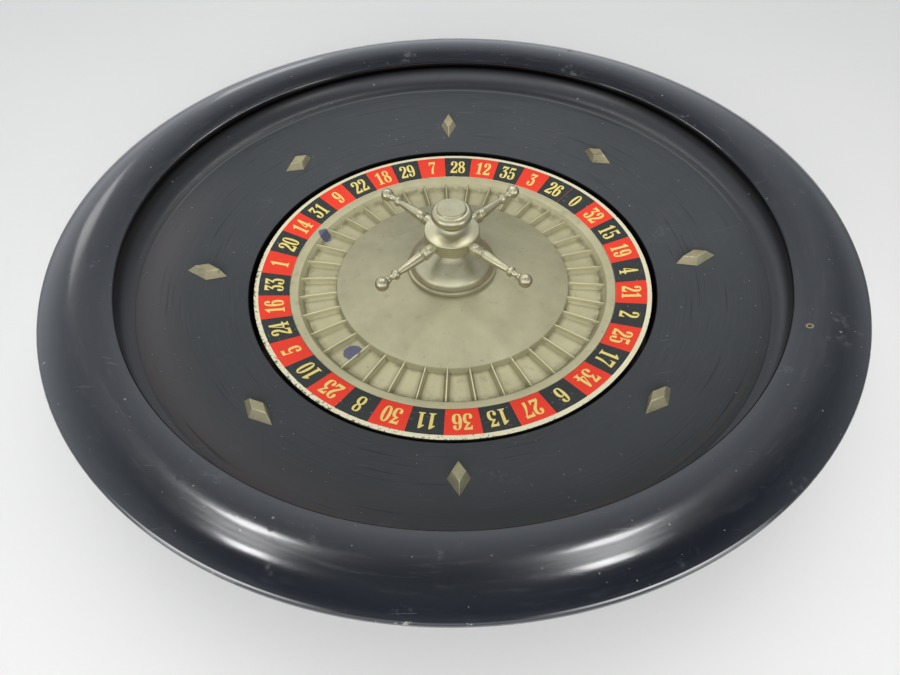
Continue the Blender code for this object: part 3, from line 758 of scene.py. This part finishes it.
def make_frets(metal):
    """The pocket walls: a rounded top, and a fillet at the foot that runs into the floor."""
    for node in sorted(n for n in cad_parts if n.startswith("fret_")):
        co = [v.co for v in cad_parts[node].data.vertices]
        out = Vector((sum(c.x for c in co), sum(c.y for c in co), 0)).normalized()
        side = Vector((-out.y, out.x, 0))
        low, high = min(c.z for c in co), max(c.z for c in co)
        ends = []
        for level in (low, high):
            ring = [c for c in co if abs(c.z - level) < 1e-5]
            reach = [c.dot(out) for c in ring]
            ends.append((min(reach), max(reach), max(c.dot(side) for c in ring)))
        verts = []
        for share, flare, drawn in FRET_RINGS:
            near, far, half = (a + (b - a) * share for a, b in zip(*ends))
            half = (half + flare * MM) * (1 - drawn)
            far += SINK - drawn * 1.2 * MM
            z = low - SINK + (high - low + SINK) * share
            for along, across in ((near - SINK, -half), (far, -half), (far, half), (near - SINK, half)):
                verts.append(tuple(out * along + side * across + Vector((0, 0, z))))
        faces = [(0, 1, 2, 3), tuple(range(len(verts) - 4, len(verts)))]
        for k in range(0, len(verts) - 4, 4):
            faces += [(k + i, k + (i + 1) % 4, k + 4 + (i + 1) % 4, k + 4 + i) for i in range(4)]
        piece = add_piece(f"{node}_wall", verts, faces, "rotor", [node], sharp_deg=50)
        piece.data.materials.append(metal)


def make_deflectors(looks):
    """The cast deflectors, let into the apron. looks are for their sides and their top faces; the top
    faces' look is a darker copy of the brass, painted shade.
    """
    for node in sorted(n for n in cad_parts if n.startswith("deflector_")):
        co = [v.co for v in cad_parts[node].data.vertices]
        centre = sum(co, Vector()) / len(co)
        axis = Vector((-centre.x, -centre.y, 0)).normalized() * 0.3 + Vector((0, 0, 0.95))
        middle = sum(c.dot(axis) for c in co) / len(co)

        def lowered(c):
            if c.dot(axis) < middle:
                c.z -= DEFLECTOR_SINK
            return c

        verts, faces = solid_of(node, lowered)
        piece = add_piece(f"{node}_cast", verts, faces, "bowl", [node])
        for look in looks:
            piece.data.materials.append(look)
        for face in piece.data.polygons:
            face.material_index = int(face.normal.dot(axis) > 0.88)
        bevel_edges(piece, 0.35)


def make_handles(metal):
    """The turned handles, spun finely about their own axes."""
    for node in sorted(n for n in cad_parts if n.startswith("handle_")):
        co = [v.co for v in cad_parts[node].data.vertices]
        out = Vector((sum(c.x for c in co), sum(c.y for c in co), 0)).normalized()
        level = (min(c.z for c in co) + max(c.z for c in co)) / 2
        rings = {}
        for c in co:
            along = round(c.dot(out), 6)
            away = (c - out * along - Vector((0, 0, level))).length
            rings[along] = max(rings.get(along, 0), away)
        outline = [(rings[a], a) for a in sorted(rings)]
        if outline[0][0] > 0:
            outline.insert(0, (0.0, outline[0][1]))
        outline = softened(smoothed(outline, False, steps=5), False, size=0.12 * MM)
        verts, faces = spun(outline, False, segments=48)
        to_world = Matrix.Translation((0, 0, level)) @ out.to_track_quat("Z", "Y").to_matrix().to_4x4()
        verts = [tuple(to_world @ Vector(v)) for v in verts]
        piece = add_piece(f"{node}_turned", verts, faces, "rotor", [node])
        piece.data.materials.append(metal)


# ---- light, floor and camera --------------------------------------------------------------------

# Up the sky: share of its height, brightness
SKY = ((0.0, 0.5), (0.1, 0.65), (0.2, 1.0), (0.42, 1.0), (0.6, 0.8), (0.73, 0.6), (0.83, 0.3),
       (0.92, 0.22), (1.0, 0.3))
# The two rows of lamps over the wheel: their far and near ends in X and Y, and how high they hang
LAMP_ROWS = (("left", (-0.46, 0.83), (-0.63, 0.13)), ("right", (0.34, 0.84), (0.42, 0.20)))
LAMP_Z = 1.5
# Along a row: each lamp's size in metres and its radiance
LAMPS = ((0.13, 24), (0.2, 3.4), (0.2, 4.2), (0.2, 3.4), (0.14, 24))


def panel(name, place, wide, high, radiance):
    """A flat lamp that faces the wheel."""
    lamp = bpy.data.lights.new(name, "AREA")
    lamp.shape = "RECTANGLE"
    lamp.size, lamp.size_y = wide, high
    lamp.energy = radiance * pi * wide * high
    thing = bpy.data.objects.new(name, lamp)
    bpy.context.scene.collection.objects.link(thing)
    turn = Vector(place).to_track_quat("Z", "Y")
    thing.matrix_world = Matrix.Translation(place) @ turn.to_matrix().to_4x4()
    return thing


def smooth_ramp(tree, value, **ends):
    """A smooth step of a value, with its other ends given."""
    node = tree.nodes.new("ShaderNodeMapRange")
    node.interpolation_type = "SMOOTHSTEP"
    for socket, number in ends.items():
        node.inputs[socket.replace("_", " ")].default_value = number
    tree.links.new(value, node.inputs["Value"])
    return node.outputs["Result"]


def make_sky():
    """A plain sky that lights nothing matt, dimmer on the right and brighter behind the camera."""
    world = bpy.data.worlds.new("studio")
    bpy.context.scene.world = world
    world.use_nodes = True
    tree = world.node_tree
    place = tree.nodes.new("ShaderNodeTexCoord")
    split = tree.nodes.new("ShaderNodeSeparateXYZ")
    ramp = tree.nodes.new("ShaderNodeValToRGB")
    total = tree.nodes.new("ShaderNodeMath")
    tree.links.new(place.outputs["Generated"], split.inputs[0])
    tree.links.new(split.outputs["Z"], ramp.inputs[0])
    across = smooth_ramp(tree, split.outputs["X"], From_Min=0.2, From_Max=0.6, To_Min=1.15, To_Max=0.55)
    behind = smooth_ramp(tree, split.outputs["Y"], From_Min=-0.45, From_Max=-0.75, To_Max=0.8)
    tree.links.new(across, total.inputs[0])
    tree.links.new(behind, total.inputs[1])
    tree.links.new(ramp.outputs[0], tree.nodes["Background"].inputs["Color"])
    tree.links.new(total.outputs[0], tree.nodes["Background"].inputs["Strength"])
    while len(ramp.color_ramp.elements) < len(SKY):
        ramp.color_ramp.elements.new(0.5)
    for element, (where, value) in zip(ramp.color_ramp.elements, SKY):
        element.position = where
        element.color = (value * 0.95, value, value * 1.08, 1)
    world.cycles_visibility.diffuse = False


def make_lamps():
    """Lamps that light nothing matt and show as reflections, and two soft lamps that don't show."""
    for name, far, near in LAMP_ROWS:
        for k, (size, radiance) in enumerate(LAMPS):
            x, y = (a + (b - a) * k / (len(LAMPS) - 1) for a, b in zip(far, near))
            lamp = panel(f"lamp_{name}_{k + 1}", (x, y, LAMP_Z), 1.25 * size, size, radiance)
            lamp.visible_diffuse = False
    for name, place in (("left", (-1.3, -1.0, 0.3)), ("right", (1.3, -1.0, 0.3))):
        panel(f"low_{name}", place, 0.6, 0.3, 7).visible_diffuse = False
    for name, place, high, radiance in (("far", (-1.09, 1.35, 1.25), 0.3, 2.6),
                                        ("back", (-0.5, 1.35, 0.63), 0.25, 1.6)):
        panel(f"window_{name}", place, 0.3, high, radiance).visible_diffuse = False
    for name, place, wide, high, radiance in (("soft_front", (0, -2.1, 1.4), 2.8, 1.7, 4.7),
                                              ("soft_above", (0, 0.3, 2.3), 3.0, 3.0, 1.2)):
        panel(name, place, wide, high, radiance).visible_glossy = False


def make_floor():
    """The floor, half a millimetre under the wheel."""
    bpy.ops.mesh.primitive_plane_add(size=8, location=(0, 0, -0.0005))
    floor_plane = bpy.context.object
    floor_plane.name = "floor"
    floor_plane.data.materials.append(table_top())


def make_camera():
    yaw, pitch, roll = (radians(turn) for turn in CAMERA_TURN)
    ahead = Vector((sin(yaw) * cos(pitch), cos(yaw) * cos(pitch), -sin(pitch)))
    side = Vector((cos(yaw), -sin(yaw), 0))
    above = side.cross(ahead)
    right = side * cos(roll) + above * sin(roll)
    up = above * cos(roll) - side * sin(roll)
    camera = bpy.data.cameras.new("camera")
    camera.sensor_width = 36.0
    camera.lens = CAMERA_LENS
    camera.clip_start = 0.01
    thing = bpy.data.objects.new("camera", camera)
    bpy.context.scene.collection.objects.link(thing)
    thing.matrix_world = (Matrix.Translation(CAMERA_AT)
                          @ Matrix((right, up, -ahead)).transposed().to_4x4())
    bpy.context.scene.camera = thing


def lowered_foot(outline):
    """The cone's skirt, carried down to the pocket floor."""
    low = min(z for _, z in outline)
    return [(r, z - SINK if z < low + 1e-5 else z) for r, z in outline]


def closed_seam(outline):
    """The apron, carried out to the rim it is fixed to."""
    edge = max(r for r, _ in outline)
    return [(r + SEAM_LAP if r > edge - 1e-5 else r, z) for r, z in outline]


# ---- the wheel ----------------------------------------------------------------------------------

make_camera()
make_sky()
make_lamps()
make_floor()

black = lacquer()
ring_top = RingTop()
pocket_z = min(z for r, z in outline_of("rotor_pan")[0] if abs(r - POCKET_OUT) < 1 * MM)
plate = nickel("satin_nickel_look", (0.375, 0.354, 0.223), (0.32, 0.302, 0.188),
               rough=(0.42, 0.54), grime=0.25, metallic=0.3)
pocket_metal = nickel("pocket_nickel_look", (0.475, 0.443, 0.267), (0.40, 0.373, 0.222),
                      rough=(0.4, 0.52), grime=0.45, metallic=0.3,
                      pocket=(pocket_z, ring_top.first_wall))
turret_metal = nickel("turret_nickel_look", (0.53, 0.50, 0.335), (0.42, 0.395, 0.255),
                      rough=(0.3, 0.4), grime=0.4, metallic=0.85)
brass = nickel("deflector_look", (0.56, 0.515, 0.345), (0.37, 0.34, 0.21),
               rough=(0.34, 0.48), grime=0.8, metallic=0.5)
# Painted shade: a darker copy of the deflector brass, for the deflectors' top faces.
brass_top_shaded = nickel("deflector_top_shaded_look", (0.33, 0.30, 0.17), (0.19, 0.17, 0.095),
                   rough=(0.4, 0.55), grime=0.9, metallic=0.5)
steel = nickel("steel_look", (0.5, 0.5, 0.5), (0.4, 0.4, 0.4),
               rough=(0.3, 0.4), grime=0.35, metallic=1.0)

for node, body, segments, slot, paint in (
    ("rim", "bowl", 480, "black_lacquer", black),
    ("apron", "bowl", 360, "apron_black", apron_paint()),
    ("base_board", "bowl", 240, "stained_wood", stained_wood()),
    ("spindle", "bowl", 64, "turned_steel", steel),
    ("rotor_pan", "rotor", 370, "satin_nickel", pocket_metal),
    ("bush", "rotor", 64, "aged_brass", brass),
    ("turret_base", "rotor", 128, "satin_nickel", turret_metal),
    ("turret_hub", "rotor", 128, "satin_nickel", turret_metal),
    ("turret_cap", "rotor", 128, "satin_nickel", turret_metal),
    ("cone_plate", "rotor", 370, "satin_nickel", plate),
):
    change = {"apron": closed_seam, "cone_plate": lowered_foot}.get(node)
    edge = 0.1 if node == "apron" else 0.25
    turned_look(node, body, segments, edge, change).data.materials.append(paint)

make_number_ring(ring_top)
make_numerals(ring_top)
make_zero_line(ring_top)
make_frets(pocket_metal)
make_deflectors((brass, brass_top_shaded))
make_handles(turret_metal)

bpy.context.scene.view_settings.view_transform = "Standard"
